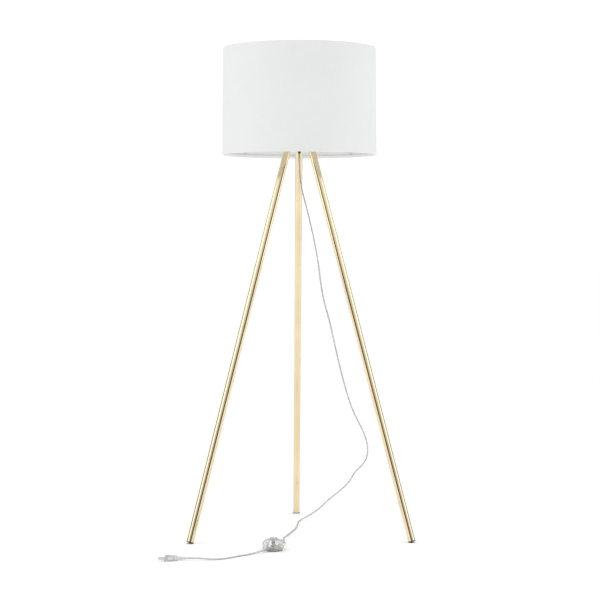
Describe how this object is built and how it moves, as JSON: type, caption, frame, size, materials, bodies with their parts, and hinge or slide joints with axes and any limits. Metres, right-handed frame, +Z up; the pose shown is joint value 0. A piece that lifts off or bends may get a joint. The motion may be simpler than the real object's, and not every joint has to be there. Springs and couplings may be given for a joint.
{
  "type": "tripod floor lamp",
  "caption": "Floor lamp with a fabric drum shade on splayed tube legs, an E27 holder with bulb, and a clear cord with a foot switch and a plug.",
  "frame": {"origin": "the point of the floor under the lamp's vertical axis, midway between the three feet", "axes": "+Z up along the lamp's axis, +Y towards the back leg, -Y the front, +X to the right seen from the front"},
  "size_m": [0.7617, 0.8889, 1.508],
  "materials": {
    "brass_plating": "polished pale brass plating on steel tube",
    "zinc_steel": "bright zinc",
    "brass": "plain brass",
    "nickel": "nickel plate",
    "black_rubber": "matt",
    "black_plastic": "matt",
    "dark_plastic": "satin dark grey",
    "white_plastic": "satin white",
    "white_paint": "white powder coat",
    "shade_fabric": "plain woven off-white cotton and linen",
    "shade_liner": "white polystyrene sheet",
    "led_board": "white solder mask",
    "opal_glass": "opal, satin",
    "clear_pvc": "clear flexible PVC",
    "clear_plastic": "clear moulded polycarbonate",
    "copper_core": "insulated copper core"
  },
  "bodies": {
    "stand": {"leg_tube_back": "brass_plating", "leg_tube_left": "brass_plating", "leg_tube_right": "brass_plating", "leg_inserts": "zinc_steel", "leg_bolts": "zinc_steel", "leg_washers": "zinc_steel", "foot_cap_back": "black_rubber", "foot_cap_left": "black_rubber", "foot_cap_right": "black_rubber", "hub_bracket": "brass_plating", "nipple": "zinc_steel", "hub_washer": "zinc_steel", "hub_nut": "brass", "cord_bushing": "black_plastic", "holder_cap": "white_plastic", "holder_grub_screw": "zinc_steel", "holder_skirt": "white_plastic", "holder_insert": "white_plastic", "screw_shell": "brass", "centre_contact": "brass", "holder_terminal_screws": "brass", "shade_ring": "white_plastic", "cord_upper": "clear_pvc", "cord_lower": "clear_pvc", "cord_riser": "clear_pvc", "cord_cores": "copper_core", "switch_foot_ring": "black_rubber", "switch_base": "clear_plastic", "switch_cover": "clear_plastic", "switch_spring": "nickel", "switch_bridge": "dark_plastic", "switch_carrier": "white_plastic", "switch_terminals": "brass", "switch_terminal_screws": "zinc_steel", "switch_clamps": "clear_plastic", "switch_clamp_screws": "zinc_steel", "switch_cover_screws": "zinc_steel", "plug_body": "clear_pvc", "plug_pins": "nickel"},
    "shade": {"shade_fabric": "shade_fabric", "shade_liner": "shade_liner", "shade_top_ring": "white_paint", "shade_bottom_ring": "white_paint", "shade_arms": "white_paint", "shade_centre_ring": "white_paint"},
    "bulb_foot": {"bulb_contact": "brass"},
    "bulb": {"bulb_insulator": "black_plastic", "bulb_screw_cap": "nickel", "bulb_housing": "white_plastic", "bulb_led_board": "led_board", "bulb_globe": "opal_glass"},
    "switch_key": {"switch_button": "clear_plastic", "switch_plunger": "dark_plastic"}
  },
  "joints": [
    {"name": "shade_turn", "type": "hinge", "parent": "stand", "child": "shade", "pos_m": [0, 0, 1.2305], "axis": [0, 0, 1], "continuous": true},
    {"name": "bulb_lift", "type": "slide", "parent": "stand", "child": "bulb_foot", "axis": [0, 0, 1], "range_m": [0, 0.0128]},
    {"name": "bulb_turn", "type": "hinge", "parent": "bulb_foot", "child": "bulb", "pos_m": [0, 0, 1.2455], "axis": [0, 0, 1], "range_deg": [0, 1260]},
    {"name": "switch_press", "type": "slide", "parent": "stand", "child": "switch_key", "axis": [0, 0, -1], "range_m": [0, 0.003], "stiffness_N_per_m": 1500, "springref_m": -0.0006, "deforming": ["switch_spring"]}
  ],
  "couplings": [
    {"joint": "bulb_lift", "follows": "bulb_turn", "m_per_rad": 0.000576}
  ]
}
